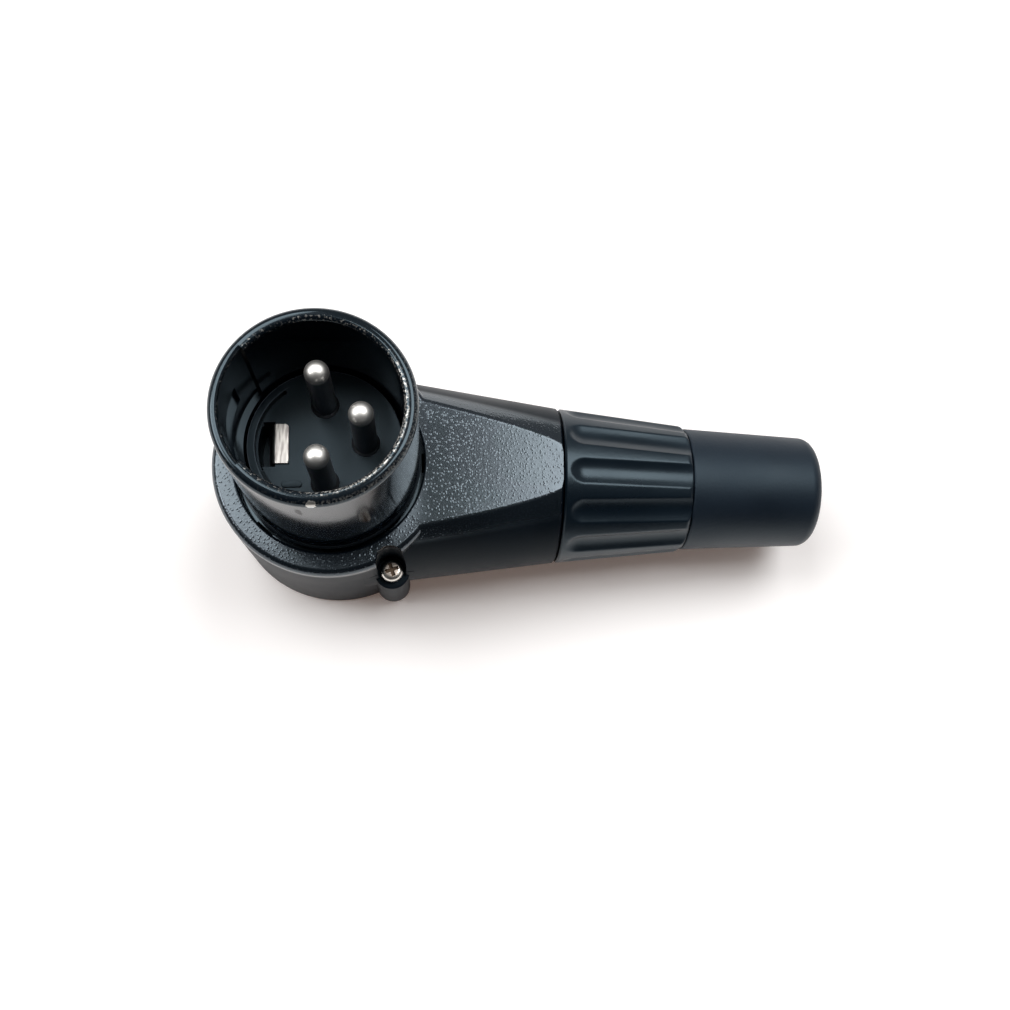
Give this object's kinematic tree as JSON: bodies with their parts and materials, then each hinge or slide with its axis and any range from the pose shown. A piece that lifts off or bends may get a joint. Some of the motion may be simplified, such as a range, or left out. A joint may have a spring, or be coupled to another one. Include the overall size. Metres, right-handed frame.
{
  "type": "right-angle three-pin plug",
  "caption": "Right-angle audio plug: an upright round metal cup with contact pins, a textured elbow housing and a fluted gland ring with a rubber boot.",
  "frame": {"origin": "on the cup's axis, in the plane of the flat back that the plug rests on", "axes": "+Z out of the cup along the pins, +X along the arm to the cable hole, +Y by the right hand"},
  "size_m": [0.0676, 0.0254, 0.036],
  "materials": {
    "gloss_paint": "gloss black paint over cast metal",
    "textured_paint": "satin black paint with a fine orange-peel texture",
    "insert_plastic": "moulded black plastic",
    "contact_plating": "bright silver plating",
    "retainer_metal": "bare cast metal",
    "screw_steel": "bright plated steel",
    "ring_plastic": "moulded black plastic with a satin sheen",
    "chuck_plastic": "moulded pale plastic",
    "boot_rubber": "matt black rubber"
  },
  "bodies": {
    "root": {"male_shell": "gloss_paint", "contact_insert": "insert_plastic", "insert_retainer": "retainer_metal", "contact_pin_1": "contact_plating", "contact_pin_2": "contact_plating", "contact_pin_3": "contact_plating", "ground_contact": "contact_plating", "elbow_housing": "textured_paint", "back_cover": "textured_paint", "cover_screws": "screw_steel"},
    "chuck": {"chuck": "chuck_plastic"},
    "gland": {"gland_ring": "ring_plastic", "boot": "boot_rubber"}
  },
  "joints": [
    {"name": "chuck_slide", "type": "slide", "parent": "root", "child": "chuck", "axis": [1, 0, 0], "range_m": [0, 0.0061]},
    {"name": "gland_turn", "type": "hinge", "parent": "chuck", "child": "gland", "pos_m": [0.03, 0, 0.0092], "axis": [1, 0, 0], "range_deg": [0, 2160]}
  ],
  "couplings": [
    {"joint": "chuck_slide", "follows": "gland_turn", "m_per_rad": 0.00015915}
  ]
}
